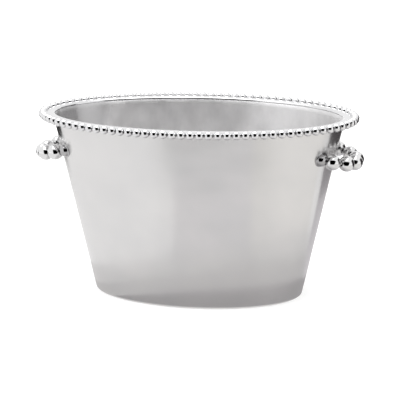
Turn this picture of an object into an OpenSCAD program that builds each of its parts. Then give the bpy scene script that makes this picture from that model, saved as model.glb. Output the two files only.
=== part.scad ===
// Oval champagne bucket: a tapered satin tub with a flat lip, a beaded border and two beaded handles.
// Millimetres. +X runs along the oval's length to the right handle, +Y to the back, +Z up.
// The origin is the middle of the flat base, on the surface that the bucket stands on.

/* [Tub] */
// Height of the lip's top face
lip_top = 208.2; // [200:0.1:216]
// Half of the outer oval's length where the wall meets the lip
wall_top_a = 165.4; // [162:0.1:168]
// Half of the outer oval's length just above the bottom corner
wall_base_a = 121; // [115:0.5:125]
// Outer oval's width as a share of its length
outer_ratio = 0.57; // [0.56:0.005:0.58]
// Inner oval's width as a share of its length
inner_ratio = 0.562; // [0.552:0.002:0.564]
// Thickness of the wall at the ends of the oval
wall_t = 2.5; // [2:0.1:3]
// Radius of the rounded bottom corner
corner_r = 4.5; // [4:0.1:6]

/* [Floor] */
// Thickness of the floor plate and of the turned-in edge around it
floor_t = 2.5; // [2:0.1:3]
// Width of the wall's turned-in edge that holds the floor plate
turned_in = 6; // [5:0.5:8]

/* [Lip] */
// Thickness of the lip
lip_t = 2.5; // [2.2:0.1:3]
// Radius that rounds the lip's inner edge
lip_round = 2.2; // [1:0.1:2.2]

/* [Beaded border] */
// Number of beads in the border
border_count = 94; // [94:1:96]
// Half-length of the oval through the bead centres
border_a = 176.5; // [176:0.1:178]
// Half-width of the oval through the bead centres
border_b = 109; // [109:0.1:110.5]
// Depth of the bead centres below the lip's top face
border_drop = 1.4; // [1.2:0.1:1.6]
// Shift of the first bead from the oval's +X end, as a share of the pitch
border_phase = 0.876; // [0:0.001:1]

/* [Handles] */
// Radius of the half circle that the bead centres follow
handle_r = 36.8; // [36.6:0.1:37.2]
// Full beads on each handle
handle_count = 6; // [6:1:6]
// Diameter of a full bead
handle_bead_d = 17.6; // [17.4:0.1:17.7]
// Height of the handle's ends on the wall
handle_z = 168.4; // [165:0.1:172]
// Angle that the handle droops by, close to square to the tapered wall
handle_droop = 13; // [11:0.1:14]
// Diameter of the rod through the beads
rod_d = 4.5; // [4.2:0.1:4.6]
// Diameter of the half bead at each end of a handle
root_d = 14.5; // [14.3:0.1:15]

/* [Fixings] */
// Diameter of the threaded end that passes through the wall
stud_d = 4; // [3.5:0.1:4.5]
// Gap all round a stud in its hole
stud_gap = 0.15; // [0.1:0.05:0.3]
// Washer diameter
washer_d = 12; // [11:0.5:14]
// Washer thickness
washer_t = 1.4; // [1.2:0.1:1.6]
// Cap nut size across its corners
nut_corners = 8.1; // [7.5:0.1:8.5]
// Height of the cap nut's six-sided part
nut_h = 3.2; // [3:0.1:4]

/* [Hidden] */
$fn = 96;
rod_fn = 48;
// A small overlap where two shapes of one piece join, and the gap between separate beads that touch
overlap = 0.01;
clearance = 0.05;
// How far a cutting shape runs past the faces that it cuts through
past = 1;
SIDES = ["right", "left"];
ENDS = ["front", "back"];

polished = [0.86, 0.86, 0.87];
satin = [0.77, 0.77, 0.78];

// The wall is straight from the bottom corner up to the lip's underside.
wall_top = lip_top - lip_t;
wall_lean = (wall_top_a - wall_base_a) / (wall_top - corner_r);
lean_angle = atan(wall_lean);
function outer_a(z) = wall_base_a + (z - corner_r) * wall_lean;
function inner_a(z) = outer_a(z) - wall_t;

// The floor plate is let into the turned-in edge, level with it above and below.
floor_a = wall_base_a - corner_r - turned_in;
floor_b = wall_base_a * outer_ratio - corner_r - turned_in;
inner_corner_r = corner_r - wall_t;

// Beads stand at equal steps of arc length round the oval, found from a table of short chords.
border_z = lip_top - border_drop;
arc_steps = 720;
function border_point(t) = [border_a * cos(t), border_b * sin(t)];
function border_step(i) = norm(border_point((i + 1) * 360 / arc_steps) - border_point(i * 360 / arc_steps));
arc_table = [for (i = 0, s = 0; i <= arc_steps; s = s + border_step(i), i = i + 1) [s, i * 360 / arc_steps]];
border_length = arc_table[arc_steps][0];
border_pitch = border_length / border_count;
border_bead_d = border_pitch - clearance;
// The lip's outer edge meets the beads' inner sides.
lip_a = border_a - border_pitch / 2;
lip_b = border_b - border_pitch / 2;
function border_angle(k) = lookup((k + border_phase) * border_pitch, arc_table);

// Each handle's beads touch in a row, and the first and the last of them sit in seats in the half beads.
handle_step = 2 * asin((handle_bead_d + clearance) / 2 / handle_r);
// Gap all round the rod in a bead's bore
bore_gap = 0.1;
// The middle of a handle's half circle, so that its ends lie on the wall's outer face
handle_x = sqrt(pow(outer_a(handle_z), 2) - pow(handle_r / outer_ratio, 2));
// The rod stops at this angle short of the wall, in a ball slightly thicker than itself.
rod_stop = 5.4;
rod_ball_d = rod_d + 0.6;
// Length of a stud outside the wall, up into the ball, and a longer one for cutting its hole
stud_out = 2.6;
hole_out = 4;

// Outward normal of the wall where a handle's back end meets it.
root_normal = [handle_x, handle_r / pow(outer_ratio, 2), -outer_a(handle_z) * wall_lean];
root_turn = atan2(root_normal[1], root_normal[0]);
root_tilt = acos(root_normal[2] / norm(root_normal));
// The wall's inner face is hollow under a flat washer, which stands off it by this much at the stud.
washer_gap = 0.3;
washer_back = wall_t + washer_gap + washer_t;
// A stud ends inside the nut's dome, which is narrower than the six-sided part.
stud_in_dome = 1.5;
stud_reach = washer_back + nut_h + stud_in_dome;
nut_dome_share = 0.84;
nut_dome_d = nut_corners * nut_dome_share;

// Points of an arc, from angle a1 to angle a2
function arc_points(cx, cy, r, a1, a2, n = 8) =
    [for (i = [0:n]) [cx + r * cos(a1 + (a2 - a1) * i / n), cy + r * sin(a1 + (a2 - a1) * i / n)]];

// Outline of an upright form: a level bottom at height z, a round corner of radius r, and the leaning side
function tub_outline(a, z, r, top) = concat(
    [[0, z]],
    arc_points(a + r * wall_lean - r / cos(lean_angle), z + r, r, -90, -lean_angle),
    [[a + (top - z) * wall_lean, top], [0, top]]
);

// Everything inside the wall's outer face, as a solid
module outer_form() {
    scale([1, outer_ratio, 1]) rotate_extrude() polygon(tub_outline(outer_a(0), 0, corner_r, wall_top));
}

// Everything inside the wall's inner face, from the floor's top face up
module inner_form(top) {
    scale([1, inner_ratio, 1]) rotate_extrude()
        polygon(tub_outline(inner_a(floor_t), floor_t, inner_corner_r, top));
}

// Carries what is modelled at the right back over to the given side and end
module on_side(side, end = "back") {
    mirror([side == "left" ? 1 : 0, 0, 0]) mirror([0, end == "front" ? 1 : 0, 0]) children();
}

// Puts its children in the handle's own drooping plane, where its half circle has its centre at the origin
module in_handle_plane(side) {
    on_side(side) translate([handle_x, 0, handle_z]) rotate([0, handle_droop, 0]) children();
}

// Puts its children at one root with their +Z along the wall's outward normal
module at_root(side, end) {
    on_side(side, end)
        translate([handle_x, handle_r, handle_z]) rotate([0, root_tilt, root_turn]) children();
}

// A stud, or with some extra diameter the hole for it
module stud(extra, out) {
    translate([0, 0, -stud_reach]) cylinder(d = stud_d + extra, h = stud_reach + out);
}

// The oval of the floor plate, running past both of its faces
module floor_prism() {
    translate([0, 0, -past]) linear_extrude(floor_t + 2 * past) scale([floor_a, floor_b]) circle(r = 1);
}

// The wall with its rounded bottom corner, its turned-in edge and the holes for the studs
module tub_wall() {
    color(satin) difference() {
        outer_form();
        inner_form(wall_top + past);
        floor_prism();
        for (s = SIDES, e = ENDS) at_root(s, e) stud(2 * stud_gap, hole_out);
    }
}

// A level slab trimmed to the oval, so that its underside is a true plane to stand on
module tub_floor() {
    color(satin) intersection() {
        translate([-floor_a - past, -floor_b - past, 0])
            cube([2 * (floor_a + past), 2 * (floor_b + past), floor_t]);
        floor_prism();
    }
}

// Puts its children at the centre of each border bead
module border_places() {
    for (k = [0:border_count - 1])
        translate(concat(border_point(border_angle(k)), [border_z])) children();
}

// The lip's opening, with a round shoulder that leaves the lip's inner edge rounded
module lip_opening() {
    edge = inner_a(lip_top - lip_round);
    shoulder = arc_points(edge + lip_round, lip_top - lip_round, lip_round, 180, 90, 6);
    scale([1, inner_ratio, 1]) rotate_extrude() polygon(concat(
        [[0, wall_top - past], [inner_a(wall_top - past), wall_top - past]],
        shoulder,
        [[edge + lip_round, lip_top + past], [0, lip_top + past]]
    ));
}

// A flat oval ring whose opening continues the wall's inner face
module lip() {
    color(polished) difference() {
        translate([0, 0, wall_top]) scale([1, lip_b / lip_a, 1]) cylinder(r = lip_a, h = lip_t);
        lip_opening();
    }
}

// All of the border's beads, which are too small to be told apart by name
module border_beads() {
    color(polished) border_places() sphere(d = border_bead_d);
}

// The full circle that a handle's rod follows, for cutting bores
module handle_ring(d) {
    rotate_extrude() translate([handle_r, 0]) circle(d = d, $fn = rod_fn);
}

// A bent rod with a ball at each end, from which a stud goes square through the wall
module handle_rod(side) {
    sweep = 180 - 2 * rod_stop;
    color(polished) {
        in_handle_plane(side) rotate([0, 0, -sweep / 2])
            rotate_extrude(angle = sweep) translate([handle_r, 0]) circle(d = rod_d, $fn = rod_fn);
        for (turn = [-sweep / 2, sweep / 2])
            in_handle_plane(side) rotate([0, 0, turn]) translate([handle_r, 0, 0]) sphere(d = rod_ball_d);
        for (e = ENDS) at_root(side, e) stud(0, stud_out);
    }
}

// A ball at the place of one bead of a handle
module bead_ball(i, d) {
    turn = (i - (handle_count + 1) / 2) * handle_step;
    rotate([0, 0, turn]) translate([handle_r, 0, 0]) sphere(d = d);
}

// One full bead, bored for the rod. Bead 1 is the front one.
module handle_bead(side, i) {
    color(polished) in_handle_plane(side) difference() {
        bead_ball(i, handle_bead_d);
        handle_ring(rod_d + 2 * bore_gap);
    }
}

// The half bead between the wall and the row, with a seat for the bead beside it
module root_bead(side, end) {
    color(polished) on_side(side, end) difference() {
        translate([handle_x, handle_r, handle_z]) rotate([0, root_tilt, root_turn]) sphere(d = root_d);
        outer_form();
        handle_rod("right");
        in_handle_plane("right") bead_ball(handle_count, handle_bead_d + 2 * clearance);
    }
}

// A flat washer inside the tub
module washer(side, end) {
    color(polished) at_root(side, end) translate([0, 0, -washer_back]) difference() {
        cylinder(d = washer_d, h = washer_t);
        translate([0, 0, -past]) cylinder(d = stud_d + 2 * stud_gap, h = washer_t + 2 * past);
    }
}

// A domed nut on the stud's inner end
module cap_nut(side, end) {
    color(polished) at_root(side, end) translate([0, 0, -washer_back]) difference() {
        union() {
            translate([0, 0, -nut_h]) cylinder(d = nut_corners, h = nut_h, $fn = 6);
            translate([0, 0, -nut_h]) intersection() {
                sphere(d = nut_dome_d);
                translate([0, 0, -nut_dome_d]) cylinder(d = 2 * nut_dome_d, h = nut_dome_d + overlap);
            }
        }
        translate([0, 0, washer_back - stud_reach]) cylinder(d = stud_d, h = stud_reach);
    }
}

tub_wall();
tub_floor();
lip();
border_beads();
for (s = SIDES) {
    handle_rod(s);
    for (i = [1:handle_count])
        handle_bead(s, i);
    for (e = ENDS) {
        root_bead(s, e);
        washer(s, e);
        cap_nut(s, e);
    }
}
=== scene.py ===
"""Oval champagne bucket in satin and polished metal, with a beaded border and two beaded handles."""
import math

import bmesh
import bpy
from mathutils import Matrix, Vector, noise


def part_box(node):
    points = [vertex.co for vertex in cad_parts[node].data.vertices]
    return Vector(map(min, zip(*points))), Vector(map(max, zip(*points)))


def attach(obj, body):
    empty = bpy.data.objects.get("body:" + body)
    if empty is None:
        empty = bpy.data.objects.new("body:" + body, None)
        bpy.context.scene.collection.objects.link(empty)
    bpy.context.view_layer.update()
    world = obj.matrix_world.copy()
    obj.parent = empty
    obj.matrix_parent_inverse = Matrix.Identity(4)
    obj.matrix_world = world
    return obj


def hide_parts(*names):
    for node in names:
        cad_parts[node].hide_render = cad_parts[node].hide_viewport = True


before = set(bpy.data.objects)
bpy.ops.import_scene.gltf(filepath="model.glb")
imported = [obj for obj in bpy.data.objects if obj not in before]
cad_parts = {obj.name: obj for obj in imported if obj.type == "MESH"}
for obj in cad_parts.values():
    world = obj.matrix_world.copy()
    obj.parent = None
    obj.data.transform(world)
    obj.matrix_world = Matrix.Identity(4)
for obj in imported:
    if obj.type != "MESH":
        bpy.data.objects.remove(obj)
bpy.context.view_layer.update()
MM = 0.001

# ---------------------------------------------------------------- sizes
# Places come from the frame's boxes. The rest repeats the part's own driving dimensions.
_, wall_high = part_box("tub_wall")
_, lip_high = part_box("lip")
_, floor_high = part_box("tub_floor")
border_low, border_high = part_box("border_beads")

# The tub. An oval's half-length is its a, along X, and its ratio is its width over its length.
BASE_A = 121 * MM
CORNER_R = 4.5 * MM
WALL_T = 2.5 * MM
INNER_RATIO = 0.562
WALL_TOP = wall_high.z
LIP_TOP = lip_high.z
FLOOR_T = floor_high.z
FLOOR_A = floor_high.x
FLOOR_B = floor_high.y
OUTER_RATIO = wall_high.y / wall_high.x
LEAN = (wall_high.x - BASE_A) / (WALL_TOP - CORNER_R)

# The border's beads, and the oval through their centres.
BEAD_R = (border_high.z - border_low.z) / 2
BORDER_A = border_high.x - BEAD_R
BORDER_B = border_high.y - BEAD_R

# A handle: beads in a half circle, which droops from two half beads on the wall.
HANDLE_R = 36.8 * MM
HANDLE_Z = 168.4 * MM
HANDLE_DROOP = math.radians(13)
HANDLE_BEADS = 6
HANDLE_BEAD_R = 8.8 * MM
HALF_BEAD_GAP = 0.025 * MM
HANDLE_STEP = 2 * math.asin((HANDLE_BEAD_R + HALF_BEAD_GAP) / HANDLE_R)
ROD_R = 2.25 * MM
ROD_STOP = math.radians(5.4)
ROD_BALL_R = ROD_R + 0.3 * MM
ROOT_R = 7.25 * MM

# A handle's fixings, inside the wall.
STUD_R = 2 * MM
STUD_PAST_NUT = 1.5 * MM
STUD_OUT = 2.6 * MM
WASHER_R = 6 * MM
WASHER_T = 1.4 * MM
WASHER_GAP = 0.3 * MM
NUT_R = 4.05 * MM
NUT_H = 3.2 * MM
NUT_CAP_R = 0.84 * NUT_R

# Details that only the visual model has.
GROOVE = 0.5 * MM
SEAM_CHAMFER = 0.3 * MM
SEAM_GAP = 0.02 * MM
THREAD_PITCH = 0.7 * MM
THREAD_DEPTH = 0.3 * MM

# Slow unevenness of each surface: its size across, its depth, and its seed. Beads have a seed each.
OUTSIDE_RIPPLE = (55 * MM, 0.22 * MM, 3)
INSIDE_RIPPLE = (50 * MM, 0.2 * MM, 9)
BORDER_RIPPLE = (4.5 * MM, 0.10 * MM)
BORDER_SEED_STEP = 0.37
HANDLE_RIPPLE = (9 * MM, 0.14 * MM)
HANDLE_SKIN = 0.985 * HANDLE_BEAD_R
RIPPLE_FROM = 3 * CORNER_R
RIPPLE_FADE_LOW = 20 * MM
RIPPLE_FADE_HIGH = 10 * MM

# A radius below this is a pole.
POLE_R = 1e-9

# Steps round a form, or along a curve.
WALL_STEPS = 288
WALL_LEVELS = 44
LIP_STEPS = 376
OUTER_CORNER_STEPS = 8
INNER_CORNER_STEPS = 6
LIP_ROUND_STEPS = 7
BALL_STEPS = 56
BALL_LEVELS = 40
DOME_LEVELS = 22
ROD_STEPS = 20
ROD_LEVELS = 48
STUD_STEPS = 28
WASHER_STEPS = 64
NUT_STEPS = 96
CAP_LEVELS = 14


def outer_a(z):
    """Half-length of the tub's outer oval at height z."""
    return BASE_A + (z - CORNER_R) * LEAN


def inner_a(z):
    """Half-length of the tub's inner oval at height z."""
    return outer_a(z) - WALL_T


def arc(centre_a, centre_z, radius, start, end, count):
    """Points (a, z) in count steps along an arc, from one angle to another in degrees."""
    turns = [math.radians(start + (end - start) * i / count) for i in range(count + 1)]
    return [(centre_a + radius * math.cos(t), centre_z + radius * math.sin(t)) for t in turns]


def quarter(radius, start, count):
    """An arc about the origin from an angle in degrees up to a true pole."""
    return arc(0, 0, radius, start, 90, count)[:-1] + [(0, radius)]


# ---------------------------------------------------------------- materials
# Painted shade in crevices: how dark it gets, how it fades as a place opens, and how many samples
# find near surfaces.
CREVICE_SHADE_COLOUR = (0.05, 0.048, 0.05)
CREVICE_SHADE_OPENNESS = (0.15, 0.8)
CREVICE_SHADE_SAMPLES = 12
# Painted shade at the interior's left end: its grey, and how far its border wanders on X.
LEFT_END_SHADE_COLOUR = (0.60, 0.595, 0.60)
LEFT_END_SHADE_WANDER = 0.03
EDGE_POINTINESS = (0.53, 0.6)
COAT_ROUGHNESS = 0.06
QUARTER_TURN = 0.25
CLOUD_SCALE = 16.0
EVEN = (1, 1, 1)


def add_node(tree, kind, **settings):
    """One node with its settings. A key that is an input's name sets that input."""
    made = tree.nodes.new(kind)
    for key, value in settings.items():
        if key in made.inputs:
            made.inputs[key].default_value = value
        else:
            setattr(made, key, value)
    return made


def noise_of(tree, stretch, scale, detail=2.0, roughness=0.5):
    """Noise over the object's own coordinates, stretched by the given vector."""
    place = add_node(tree, "ShaderNodeTexCoord")
    mapping = add_node(tree, "ShaderNodeMapping", Scale=stretch)
    tree.links.new(place.outputs["Object"], mapping.inputs["Vector"])
    texture = add_node(tree, "ShaderNodeTexNoise", Scale=scale, Detail=detail, Roughness=roughness)
    tree.links.new(mapping.outputs["Vector"], texture.inputs["Vector"])
    return texture.outputs["Fac"]


def between(tree, factor, low, high, start=0.3, end=0.7):
    """Maps a factor between start and end to a value from low to high."""
    mapped = add_node(tree, "ShaderNodeMapRange")
    for name, value in (("From Min", start), ("From Max", end), ("To Min", low), ("To Max", high)):
        mapped.inputs[name].default_value = value
    tree.links.new(factor, mapped.inputs["Value"])
    return mapped.outputs["Result"]


def colour_socket(sockets, name):
    """The colour socket of this name. A mix node has one of each type under the same name."""
    return next(s for s in sockets if s.name == name and s.type == "RGBA")


def blend_colour(tree, factor, one, two):
    """Mixes two colours, or outputs that give colours. A factor of 0 gives the first."""
    mix = add_node(tree, "ShaderNodeMix", data_type="RGBA")
    tree.links.new(factor, mix.inputs["Factor"])
    for name, value in (("A", one), ("B", two)):
        socket = colour_socket(mix.inputs, name)
        if isinstance(value, tuple):
            socket.default_value = (*value, 1)
        else:
            tree.links.new(value, socket)
    return colour_socket(mix.outputs, "Result")


def multiply(tree, one, two):
    """The product of two outputs."""
    made = add_node(tree, "ShaderNodeMath", operation="MULTIPLY")
    tree.links.new(one, made.inputs[0])
    tree.links.new(two, made.inputs[1])
    return made.outputs[0]


def painted_left_end_shade(tree, colour, cloud, start, end):
    """Painted shade: greys a colour where X is below start, leaving it unshaded above end, with a
    border that wanders.
    """
    place = add_node(tree, "ShaderNodeTexCoord")
    parts = add_node(tree, "ShaderNodeSeparateXYZ")
    tree.links.new(place.outputs["Object"], parts.inputs[0])
    border_x = add_node(tree, "ShaderNodeMath", operation="MULTIPLY_ADD")
    tree.links.new(cloud, border_x.inputs[0])
    border_x.inputs[1].default_value = LEFT_END_SHADE_WANDER
    tree.links.new(parts.outputs["X"], border_x.inputs[2])
    unshaded = between(tree, border_x.outputs[0], 0.0, 1.0, start, end)
    return blend_colour(tree, unshaded, LEFT_END_SHADE_COLOUR, colour)


def painted_crevice_shade(tree, colour, reach):
    """Painted shade: darkens a colour where another surface is nearer than reach."""
    occlusion = add_node(
        tree, "ShaderNodeAmbientOcclusion", Distance=reach, samples=CREVICE_SHADE_SAMPLES,
    )
    unshaded_part = between(tree, occlusion.outputs["AO"], 0.0, 1.0, *CREVICE_SHADE_OPENNESS)
    return blend_colour(tree, unshaded_part, CREVICE_SHADE_COLOUR, colour)


def metal(
    name, light, dark, gloss, grain, streak, wear,
    coat=0.0, brushed=0.0, crevice_shade_reach=0.0, marks=0.98, left_end_shade=None,
):
    """A worked metal: blotchy colour, streaky roughness, fine grain and brighter worn edges.

    light, dark and wear are its two colours and the colour of its edges. gloss is its least and
    greatest roughness. grain is the scale, strength and depth of its fine bumps. streak stretches
    its marks along X, Y and Z, and marks is how dark they get. coat is a clear shine over it, and
    brushed how much its highlights spread. As painted shade, it darkens where another surface is
    nearer than its crevice shade reach, and greys towards low X between the two places of its
    left-end shade.
    """
    made = bpy.data.materials.new(name)
    made.use_nodes = True
    tree = made.node_tree
    shader = tree.nodes["Principled BSDF"]
    shader.inputs["Metallic"].default_value = 1.0
    shader.inputs["Coat Weight"].default_value = coat
    shader.inputs["Coat Roughness"].default_value = COAT_ROUGHNESS
    if brushed:
        shader.inputs["Anisotropic"].default_value = brushed
        shader.inputs["Anisotropic Rotation"].default_value = QUARTER_TURN
        round_z = add_node(tree, "ShaderNodeTangent", direction_type="RADIAL", axis="Z")
        tree.links.new(round_z.outputs["Tangent"], shader.inputs["Tangent"])
    cloud = noise_of(tree, EVEN, CLOUD_SCALE, 3.0)
    lines = noise_of(tree, streak, 1.0, 3.0, 0.6)
    fine = noise_of(tree, EVEN, grain[0], 2.0, 0.7)

    base = blend_colour(tree, between(tree, cloud, 0.0, 1.0), dark, light)
    tinted = add_node(tree, "ShaderNodeVectorMath", operation="SCALE")
    tree.links.new(base, tinted.inputs[0])
    tree.links.new(between(tree, lines, marks, 1.0), tinted.inputs["Scale"])
    edge = add_node(tree, "ShaderNodeNewGeometry").outputs["Pointiness"]
    worn = between(tree, edge, 0.0, 1.0, *EDGE_POINTINESS)
    colour = blend_colour(tree, worn, tinted.outputs["Vector"], wear)
    # Painted shade: greys the left end of a surface, where less light reaches.
    if left_end_shade:
        colour = painted_left_end_shade(tree, colour, cloud, *left_end_shade)
    # Painted shade: darker where other surfaces are near, as between beads and at joints.
    if crevice_shade_reach:
        colour = painted_crevice_shade(tree, colour, crevice_shade_reach)
    tree.links.new(colour, shader.inputs["Base Color"])

    rough = between(tree, fine, *gloss)
    streaky = multiply(tree, rough, between(tree, lines, 0.85, 1.1))
    tree.links.new(streaky, shader.inputs["Roughness"])
    bump = add_node(tree, "ShaderNodeBump", Strength=grain[1], Distance=grain[2])
    tree.links.new(fine, bump.inputs["Height"])
    strokes = add_node(tree, "ShaderNodeBump", Strength=grain[1] * 0.7, Distance=grain[2] * 2)
    tree.links.new(lines, strokes.inputs["Height"])
    tree.links.new(bump.outputs["Normal"], strokes.inputs["Normal"])
    tree.links.new(strokes.outputs["Normal"], shader.inputs["Normal"])
    return made


SATIN_OUT = metal(
    "satin_outside", (0.80, 0.79, 0.785), (0.745, 0.74, 0.74), (0.225, 0.24), (420, 0.01, 0.00005),
    (10, 10, 34), (0.84, 0.84, 0.84), coat=0.5, brushed=0.8,
)
# The inside has painted shade in its crevices and at its left end.
SATIN_IN = metal(
    "satin_inside", (0.96, 0.95, 0.95), (0.86, 0.855, 0.86), (0.36, 0.42), (300, 0.25, 0.0001),
    (50, 50, 30), (0.9, 0.9, 0.9), coat=0.1, brushed=0.85, crevice_shade_reach=0.0025, marks=0.86,
    left_end_shade=(-0.110, -0.102),
)
# The polished metals have painted shade in their crevices.
POLISHED = metal(
    "polished", (0.83, 0.83, 0.835), (0.77, 0.77, 0.78), (0.05, 0.10), (500, 0.05, 0.00005),
    (120, 120, 120), (0.93, 0.93, 0.93), crevice_shade_reach=0.003,
)
HANDLE = metal(
    "polished_handle", (0.84, 0.84, 0.84), (0.78, 0.78, 0.785), (0.04, 0.08), (500, 0.05, 0.00005),
    (120, 120, 120), (0.93, 0.93, 0.93), crevice_shade_reach=0.010,
)
# The roots' darker colours are a painted dark reflection, and their wide crevice reach adds painted
# shade near the wall.
ROOT_PAINTED_DARK = metal(
    "polished_root_painted_dark", (0.52, 0.515, 0.52), (0.42, 0.415, 0.42), (0.04, 0.08), (500, 0.05, 0.00005),
    (120, 120, 120), (0.93, 0.93, 0.93), crevice_shade_reach=0.022,
)
FIXING = metal(
    "fixing_steel", (0.62, 0.62, 0.63), (0.50, 0.50, 0.51), (0.25, 0.38), (1500, 0.15, 0.00005),
    (700, 700, 700), (0.75, 0.75, 0.75),
)
TUB = (SATIN_OUT, SATIN_IN)


# ---------------------------------------------------------------- mesh helpers
def piece(name, bm, materials, node, sharp=38):
    """Makes an object of a bmesh, which rides on the body and stands for a CAD node.

    It is shaded smooth, with sharp edges where faces meet at more than sharp degrees.
    """
    bmesh.ops.recalc_face_normals(bm, faces=bm.faces)
    for face in bm.faces:
        face.smooth = True
    mesh = bpy.data.meshes.new(name)
    bm.to_mesh(mesh)
    bm.free()
    mesh.set_sharp_from_angle(angle=math.radians(sharp))
    for material in materials:
        mesh.materials.append(material)
    made = bpy.data.objects.new(name, mesh)
    bpy.context.scene.collection.objects.link(made)
    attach(made, "root")
    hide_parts(node)


def skin(bm, rows, close=True, caps=False):
    """Faces between rows of vertices. Each row runs all the way round."""
    pairs = list(zip(rows, rows[1:]))
    if close:
        pairs.append((rows[-1], rows[0]))
    for one, two in pairs:
        count = len(one)
        for i in range(count):
            j = (i + 1) % count
            corners = [one[i], one[j], two[j], two[i]]
            bm.faces.new(list(dict.fromkeys(corners)))
    if caps:
        bm.faces.new(rows[0])
        bm.faces.new(rows[-1])


def circle(steps):
    """Angles all the way round, in equal steps."""
    return [2 * math.pi * i / steps for i in range(steps)]


def oval(bm, a, b, z, steps):
    """One row of vertices round an oval."""
    return [bm.verts.new((a * math.cos(t), b * math.sin(t), z)) for t in circle(steps)]


def turned(bm, profile, steps, place, close=False):
    """A turned form about local Z from (radius, height) points. A radius of 0 makes a pole."""
    rows = []
    for radius, height in profile:
        if radius < POLE_R:
            rows.append([bm.verts.new(place @ Vector((0, 0, height)))] * steps)
            continue
        row = [Vector((radius * math.cos(t), radius * math.sin(t), height)) for t in circle(steps)]
        rows.append([bm.verts.new(place @ point) for point in row])
    skin(bm, rows, close=close)


def ripple(point, size, depth, seed):
    """A slow, smooth unevenness, as hand polishing leaves."""
    return depth * noise.noise(point / size + Vector((seed, seed * 1.7, seed * 2.3)))


# ---------------------------------------------------------------- tub
def wall_row(bm, a, ratio, z, unevenness):
    """One row round the wall, with a ripple that fades out towards the foot and the top."""
    row = oval(bm, a, a * ratio, z, WALL_STEPS)
    above = max(0, (z - RIPPLE_FROM) / RIPPLE_FADE_LOW)
    below = max(0, (WALL_TOP - z) / RIPPLE_FADE_HIGH)
    fade = min(1, above, below)
    for v in row:
        outward = Vector((v.co.x, v.co.y, 0)).normalized()
        v.co += outward * ripple(v.co, *unevenness) * fade
    return row


def tub_wall():
    """The tapered wall: outer skin, rounded corner, turned-in edge, and inner skin."""
    bm = bmesh.new()
    tilt = math.degrees(math.atan(LEAN))
    widen = 1 / math.cos(math.radians(tilt))
    outer_corner = BASE_A - CORNER_R * widen
    outer = arc(outer_corner, CORNER_R, CORNER_R, -90, -tilt, OUTER_CORNER_STEPS)
    start = outer[-1][1]
    for i in range(1, WALL_LEVELS + 1):
        z = start + (WALL_TOP - start) * i / WALL_LEVELS
        outer.append((outer_a(z), z))
    rows = [wall_row(bm, a, OUTER_RATIO, z, OUTSIDE_RIPPLE) for a, z in outer]

    inner_r = CORNER_R - WALL_T
    inner_corner = inner_a(FLOOR_T) + inner_r * LEAN - inner_r * widen
    inner = arc(inner_corner, FLOOR_T + inner_r, inner_r, -90, -tilt, INNER_CORNER_STEPS)
    start = inner[-1][1]
    for i in range(1, WALL_LEVELS + 1):
        z = start + (WALL_TOP - GROOVE - start) * i / WALL_LEVELS
        inner.append((inner_a(z), z))
    inner.append((inner_a(WALL_TOP) + GROOVE, WALL_TOP))
    rows += [wall_row(bm, a, INNER_RATIO, z, INSIDE_RIPPLE) for a, z in reversed(inner)]

    seam = (
        (SEAM_CHAMFER, FLOOR_T), (0, FLOOR_T - SEAM_CHAMFER),
        (0, SEAM_CHAMFER), (SEAM_CHAMFER, 0),
    )
    rows += [oval(bm, FLOOR_A + out, FLOOR_B + out, z, WALL_STEPS) for out, z in seam]
    skin(bm, rows)
    first_inside = len(outer) - 1
    last_inside = first_inside + len(inner)
    for index, face in enumerate(bm.faces):
        face.material_index = int(first_inside <= index // WALL_STEPS <= last_inside)
    piece("tub_wall_shell", bm, TUB, "tub_wall")


def tub_floor():
    """The floor plate, let in flush, with a fine chamfer all round its seam."""
    bm = bmesh.new()
    seam = (
        (SEAM_CHAMFER, 0), (SEAM_GAP, SEAM_CHAMFER),
        (SEAM_GAP, FLOOR_T - SEAM_CHAMFER), (SEAM_CHAMFER, FLOOR_T),
    )
    side = [oval(bm, FLOOR_A - back, FLOOR_B - back, z, WALL_STEPS) for back, z in seam]
    shares = (0.94, 0.8, 0.6, 0.4, 0.2)
    top = [oval(bm, FLOOR_A * s, FLOOR_B * s, FLOOR_T, WALL_STEPS) for s in shares]
    bottom = [oval(bm, FLOOR_A * s, FLOOR_B * s, 0, WALL_STEPS) for s in shares]
    skin(bm, bottom[::-1] + side + top, close=False, caps=True)
    for face in bm.faces:
        face.material_index = int(face.calc_center_median().z > FLOOR_T / 2)
    piece("tub_floor_plate", bm, TUB, "tub_floor")


def lip():
    """The flat lip: rounded inner edge, thin webs between the beads, and a cove down to the wall."""
    bm = bmesh.new()
    round_r = 2.2 * MM
    middle_a = inner_a(LIP_TOP - round_r) + round_r
    inner = [(inner_a(WALL_TOP) + GROOVE, WALL_TOP)]
    inner += arc(middle_a, LIP_TOP - round_r, round_r, 180, 90, LIP_ROUND_STEPS)
    rows = [oval(bm, a, a * INNER_RATIO, z, LIP_STEPS) for a, z in inner]
    web = 2.2 * MM
    for inset, z in (
        (7.5 * MM, LIP_TOP + 0.06 * MM),
        (5.5 * MM, LIP_TOP),
        (web + 1.6 * MM, LIP_TOP - 0.3 * MM),
        (web + 0.5 * MM, LIP_TOP - 0.7 * MM),
        (web, LIP_TOP - 1.2 * MM),
        (web, WALL_TOP + 0.6 * MM),
        (web + 0.6 * MM, WALL_TOP),
    ):
        rows.append(oval(bm, BORDER_A - inset, BORDER_B - inset, z, LIP_STEPS))
    cove = 3.0 * MM
    sunk = 0.4 * MM
    for out, drop in (
        (cove, 0), (0.5 * cove, 0.13 * cove), (0.13 * cove, 0.5 * cove), (0, cove),
        (-sunk, cove), (-sunk, 0),
    ):
        a = outer_a(WALL_TOP - drop)
        rows.append(oval(bm, a + out, a * OUTER_RATIO + out, WALL_TOP - drop, LIP_STEPS))
    skin(bm, rows)
    piece("rim_lip", bm, (POLISHED,), "lip", sharp=50)


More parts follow.
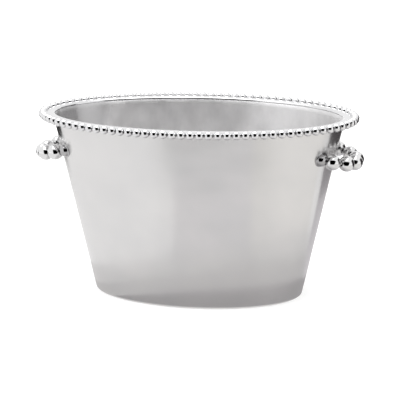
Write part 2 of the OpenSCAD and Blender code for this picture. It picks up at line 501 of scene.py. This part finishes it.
# ---------------------------------------------------------------- border
def ball_centres(node):
    """Centres of the separate balls in a CAD node, in order round the oval."""
    bm = bmesh.new()
    bm.from_mesh(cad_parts[node].data)
    bmesh.ops.remove_doubles(bm, verts=bm.verts, dist=0.005 * MM)
    left = set(bm.verts)
    centres = []
    while left:
        reached = [left.pop()]
        low = Vector(reached[0].co)
        high = Vector(reached[0].co)
        while reached:
            vertex = reached.pop()
            low = Vector(map(min, low, vertex.co))
            high = Vector(map(max, high, vertex.co))
            for near in (edge.other_vert(vertex) for edge in vertex.link_edges):
                if near in left:
                    left.remove(near)
                    reached.append(near)
        centres.append((low + high) / 2)
    bm.free()
    return sorted(centres, key=lambda c: math.atan2(c.y, c.x))


def border():
    """The border of beads, each a little uneven, as cast and hand polished."""
    bm = bmesh.new()
    for number, centre in enumerate(ball_centres("border_beads")):
        place = Matrix.Translation(centre)
        made = bmesh.ops.create_icosphere(bm, subdivisions=4, radius=BEAD_R, matrix=place)
        for v in made["verts"]:
            out = (v.co - centre).normalized()
            v.co += out * ripple(v.co, *BORDER_RIPPLE, number * BORDER_SEED_STEP)
    piece("border_of_beads", bm, (POLISHED,), "border_beads")


# ---------------------------------------------------------------- handles
HANDLE_X = math.sqrt(outer_a(HANDLE_Z) ** 2 - (HANDLE_R / OUTER_RATIO) ** 2)
SIDES = {"right": 1, "left": -1}
ENDS = {"back": 1, "front": -1}


def mirrored(side, end=1):
    """Carries what is made at the right back to another side and end."""
    return Matrix.Diagonal((side, end, 1, 1))


def handle_plane(side):
    """The drooping plane of a handle, with the centre of its half circle at the origin."""
    droop = Matrix.Rotation(HANDLE_DROOP, 4, "Y")
    return mirrored(side) @ Matrix.Translation((HANDLE_X, 0, HANDLE_Z)) @ droop


def round_handle(turn):
    """From the centre of a handle's half circle out to the half circle, at an angle."""
    return Matrix.Rotation(turn, 4, "Z") @ Matrix.Translation((HANDLE_R, 0, 0))


def root_place(side, end):
    """One end of a handle on the wall, with +Z along the wall's outward normal."""
    normal = Vector((HANDLE_X, HANDLE_R / OUTER_RATIO**2, -outer_a(HANDLE_Z) * LEAN)).normalized()
    turn = normal.to_track_quat("Z", "Y").to_matrix().to_4x4()
    return mirrored(side, end) @ Matrix.Translation((HANDLE_X, HANDLE_R, HANDLE_Z)) @ turn


def handle_beads(side_name):
    """Six bored beads in a half circle."""
    side = SIDES[side_name]
    bore = ROD_R + 0.1 * MM
    mouth = bore + 0.35 * MM
    mouth_depth = 0.4 * MM
    first = math.degrees(math.asin(mouth / HANDLE_BEAD_R))
    outside = arc(0, 0, HANDLE_BEAD_R, -90 + first, 90 - first, BALL_LEVELS)
    depth = outside[-1][1] - mouth_depth
    profile = outside + [(bore, depth), (bore, -depth)]
    for i in range(1, HANDLE_BEADS + 1):
        turn = (i - (HANDLE_BEADS + 1) / 2) * HANDLE_STEP
        along = round_handle(turn) @ Matrix.Rotation(math.pi / 2, 4, "X")
        place = handle_plane(side) @ along
        bm = bmesh.new()
        turned(bm, profile, BALL_STEPS, place, close=True)
        centre = place @ Vector((0, 0, 0))
        for v in bm.verts:
            out = v.co - centre
            if out.length > HANDLE_SKIN:
                v.co += out.normalized() * ripple(v.co, *HANDLE_RIPPLE, i + 7 * side)
        name = f"{side_name}_handle_bead_{i}"
        piece(name + "_ball", bm, (HANDLE,), name)


def rod(side_name):
    """The bent rod, the balls at its ends and the threaded studs through the wall."""
    side = SIDES[side_name]
    bm = bmesh.new()
    end_turn = math.pi / 2 - ROD_STOP
    ring = [Vector((ROD_R * math.cos(t), 0, ROD_R * math.sin(t))) for t in circle(ROD_STEPS)]
    rows = []
    for i in range(ROD_LEVELS + 1):
        place = handle_plane(side) @ round_handle(-end_turn + 2 * end_turn * i / ROD_LEVELS)
        rows.append([bm.verts.new(place @ point) for point in ring])
    skin(bm, rows, close=False, caps=True)
    for turn in (-end_turn, end_turn):
        place = handle_plane(side) @ round_handle(turn)
        bmesh.ops.create_icosphere(bm, subdivisions=3, radius=ROD_BALL_R, matrix=place)

    reach = WALL_T + WASHER_GAP + WASHER_T + NUT_H + STUD_PAST_NUT
    point = 0.5 * MM
    profile = [(0, -reach), (STUD_R - point, -reach)]
    for k in range(int((reach - 2 * point) / THREAD_PITCH)):
        z = -reach + point + k * THREAD_PITCH
        profile += [(STUD_R, z), (STUD_R - THREAD_DEPTH, z + THREAD_PITCH / 2)]
    profile += [(STUD_R, 0), (STUD_R, STUD_OUT), (0, STUD_OUT)]
    for end in ENDS.values():
        turned(bm, profile, STUD_STEPS, root_place(side, end))
    name = f"{side_name}_handle_rod"
    piece(name + "_bent", bm, (HANDLE,), name)


def root_bead(side_name, end_name):
    """The half bead where a handle meets the wall, with a small cove at its foot."""
    bm = bmesh.new()
    foot = 0.9 * MM
    sunk = 1.2 * MM
    base = [(0, -sunk), (ROOT_R + foot * 0.4, -sunk)]
    cove = [(ROOT_R + foot * out, foot * up) for out, up in ((1, 0), (0.45, 0.25), (0.1, 0.7))]
    profile = base + cove + quarter(ROOT_R, 9, DOME_LEVELS)
    turned(bm, profile, BALL_STEPS, root_place(SIDES[side_name], ENDS[end_name]))
    name = f"{side_name}_{end_name}_root_bead"
    piece(name + "_dome", bm, (ROOT_PAINTED_DARK,), name)


def washer(side_name, end_name):
    """A flat washer with eased edges."""
    bm = bmesh.new()
    ease = 0.25 * MM
    hole = STUD_R + 0.15 * MM
    top = -WALL_T - WASHER_GAP
    low = top - WASHER_T
    profile = [
        (hole + ease, top), (WASHER_R - ease, top), (WASHER_R, top - ease), (WASHER_R, low + ease),
        (WASHER_R - ease, low), (hole + ease, low), (hole, low + ease), (hole, top - ease),
    ]
    place = root_place(SIDES[side_name], ENDS[end_name])
    turned(bm, profile, WASHER_STEPS, place, close=True)
    name = f"{side_name}_{end_name}_washer"
    piece(name + "_flat", bm, (FIXING,), name, sharp=30)


def cap_nut(side_name, end_name):
    """A six-sided nut with chamfered corners and a round cap."""
    bm = bmesh.new()
    place = root_place(SIDES[side_name], ENDS[end_name])
    top = -WALL_T - WASHER_GAP - WASHER_T
    flat = NUT_R * math.cos(math.pi / 6)
    chamfered = flat * 0.97
    seat_chamfer = 0.55 * MM
    cap_chamfer = 0.75 * MM
    rows = []
    for reach, down in (
        (chamfered, 0), (NUT_R, seat_chamfer), (NUT_R, NUT_H - cap_chamfer), (chamfered, NUT_H),
    ):
        row = []
        for turn in circle(NUT_STEPS):
            side = flat / math.cos((turn + math.pi / 6) % (math.pi / 3) - math.pi / 6)
            r = min(side, reach)
            point = Vector((r * math.cos(turn), r * math.sin(turn), top - down))
            row.append(bm.verts.new(place @ point))
        rows.append(row)
    skin(bm, rows, close=False, caps=True)
    cap = [(r, top - NUT_H - z) for r, z in quarter(NUT_CAP_R, 0, CAP_LEVELS)]
    sunk = 0.3 * MM
    turned(bm, [(0, top - NUT_H + sunk)] + cap, BALL_STEPS, place)
    name = f"{side_name}_{end_name}_cap_nut"
    piece(name + "_domed", bm, (FIXING,), name, sharp=30)


tub_wall()
tub_floor()
lip()
border()
for side_name in SIDES:
    rod(side_name)
    handle_beads(side_name)
    for end_name in ENDS:
        root_bead(side_name, end_name)
        washer(side_name, end_name)
        cap_nut(side_name, end_name)


# ---------------------------------------------------------------- studio
TABLE_LAYER = 0.6 * MM
RING_STEPS = 48


def flat_material(name, glow, colour=(0.0, 0.0, 0.0)):
    """A plain studio surface. A glow with no colour shows its exact tone in a reflection."""
    made = bpy.data.materials.new(name)
    made.use_nodes = True
    shader = made.node_tree.nodes["Principled BSDF"]
    shader.inputs["Base Color"].default_value = (*colour, 1)
    shader.inputs["Roughness"].default_value = 0.9
    shader.inputs["Specular IOR Level"].default_value = 0.0
    shader.inputs["Emission Color"].default_value = (*glow, 1)
    shader.inputs["Emission Strength"].default_value = 1.0
    return made


def card(name, corners, material, seen_by_camera=False):
    """A flat studio card. Only the floor is seen; the others show in reflections."""
    mesh = bpy.data.meshes.new(name)
    mesh.from_pydata(corners, [], [list(range(len(corners)))])
    mesh.materials.append(material)
    made = bpy.data.objects.new(name, mesh)
    bpy.context.scene.collection.objects.link(made)
    made.visible_camera = seen_by_camera
    made.visible_shadow = seen_by_camera
    made.visible_diffuse = seen_by_camera


def on_table(level, *places):
    """Corners that lie on the table, in a thin layer of their own."""
    return [(x, y, level * TABLE_LAYER) for x, y in places]


def square(half):
    """The corners of a square about the origin."""
    return (-half, -half), (half, -half), (half, half), (-half, half)


def ring_of(middle, a, b):
    """The corners of an oval whose middle lies on the X axis."""
    return [(middle + a * math.cos(t), b * math.sin(t)) for t in circle(RING_STEPS)]


FLOOR = flat_material("studio_floor", (0.30, 0.30, 0.30), colour=(0.93, 0.93, 0.93))
TABLE = flat_material("studio_table", (0.92, 0.915, 0.915))
WARM = flat_material("studio_warm", (0.875, 0.86, 0.84))
# Painted shade: the front tone stands for shade on the table in front of the bucket.
FRONT_SHADE = flat_material("studio_front_shade", (0.80, 0.785, 0.795))
# Painted shadow: the near, close and foot tones stand for the bucket's shadow on the table.
NEAR_SHADOW = flat_material("studio_near_shadow", (0.71, 0.70, 0.70))
CLOSE_SHADOW = flat_material("studio_close_shadow", (0.60, 0.59, 0.59))
FOOT_SHADOW = flat_material("studio_foot_shadow", (0.40, 0.39, 0.395))
BLACK = flat_material("studio_black", (0.0, 0.0, 0.0))
DARK = flat_material("studio_dark", (0.05, 0.045, 0.047))
PALE = flat_material("studio_pale", (0.66, 0.64, 0.66))
MID = flat_material("studio_mid", (0.38, 0.365, 0.375))

# Round the bucket: a floor, and table tones that grow darker towards its foot, as painted shadow of
# the bucket on the table.
card("floor", on_table(0, *square(7)), FLOOR, seen_by_camera=True)
card("table", on_table(1, *square(1.5)), TABLE)
card(
    "table_right",
    on_table(2, (0.10, -0.07), (0.31, -0.62), (1.4, -0.62), (1.4, 0.1), (0.145, 0.02)),
    WARM,
)
# Painted shade: a darker patch of table in front, seen only in reflections.
card(
    "table_front_shade",
    on_table(2, (-0.03, -0.07), (-0.10, -0.40), (0.24, -0.40), (0.10, -0.07)),
    FRONT_SHADE,
)
# Painted shadow: rings round the foot, darker towards it, seen only in reflections.
card("table_near_shadow", on_table(3, *ring_of(0.045, 0.22, 0.19)), NEAR_SHADOW)
card("table_close_shadow", on_table(4, *ring_of(0.04, 0.17, 0.145)), CLOSE_SHADOW)
card("table_foot_shadow", on_table(5, *ring_of(0.025, 0.128, 0.10)), FOOT_SHADOW)

# In front: the black that makes the beads' dark spots.
card(
    "front_dark_low",
    on_table(6, (-0.20, -0.60), (0.45, -0.60), (0.60, -0.86), (-0.30, -0.86)),
    BLACK,
)
card(
    "front_dark",
    [(-0.36, -0.86, 0), (0.72, -0.86, 0), (1.4, -0.86, 1.05), (-0.70, -0.86, 1.05)],
    BLACK,
)

# To the right and the left at the back: the dark strips at the wall's two sides.
card(
    "right_back_pale",
    on_table(
        6, (0.145, 0.02), (0.22, 0.05), (0.335, 0.105), (0.31, 0.22), (0.23, 0.34), (0.13, 0.24),
    ),
    PALE,
)
card(
    "right_back_mid",
    on_table(
        6, (0.335, 0.105), (0.39, 0.12), (0.47, 0.118), (0.38, 0.45), (0.23, 0.50), (0.23, 0.34),
        (0.31, 0.22),
    ),
    MID,
)
card(
    "right_back_dark",
    on_table(7, (0.46, 0.12), (0.53, 0.115), (1.4, 0.25), (1.4, 1.4), (0.2, 1.4), (0.30, 0.45)),
    DARK,
)
card("right_dark", [(0.75, 0.02, 0), (0.75, 0.95, 0), (0.75, 0.95, 0.55), (0.75, 0.02, 0.55)], DARK)
card(
    "left_back_dark",
    on_table(7, (-0.48, 0.23), (-1.4, 0.30), (-1.4, 1.4), (-0.35, 1.4), (-0.40, 0.55)),
    BLACK,
)

world = bpy.data.worlds.new("studio")
bpy.context.scene.world = world
world.use_nodes = True
background = world.node_tree.nodes["Background"]
background.inputs["Color"].default_value = (1, 1, 1, 1)
background.inputs["Strength"].default_value = 1.0

top_light = bpy.data.lights.new("softbox_top", "AREA")
top_light.shape = "RECTANGLE"
top_light.size = 1.8
top_light.size_y = 1.4
top_light.energy = 22
top = bpy.data.objects.new("softbox_top", top_light)
bpy.context.scene.collection.objects.link(top)
top.location = (-0.3, -0.2, 1.9)

CAMERA_PLACE = (0.2788, -1.4502, 0.5122)
CAMERA_TURN = 0.1881
CAMERA_DOWN = 0.2677
CAMERA_ROLL = -0.0062

camera_data = bpy.data.cameras.new("camera")
camera_data.sensor_width = 36
camera_data.lens = 120.9
camera_data.clip_end = 40
camera = bpy.data.objects.new("camera", camera_data)
bpy.context.scene.collection.objects.link(camera)
camera.matrix_world = (
    Matrix.Translation(CAMERA_PLACE)
    @ Matrix.Rotation(CAMERA_TURN, 4, "Z")
    @ Matrix.Rotation(math.pi / 2 - CAMERA_DOWN, 4, "X")
    @ Matrix.Rotation(CAMERA_ROLL, 4, "Z")
)
bpy.context.scene.camera = camera
bpy.context.scene.view_settings.view_transform = "Standard"
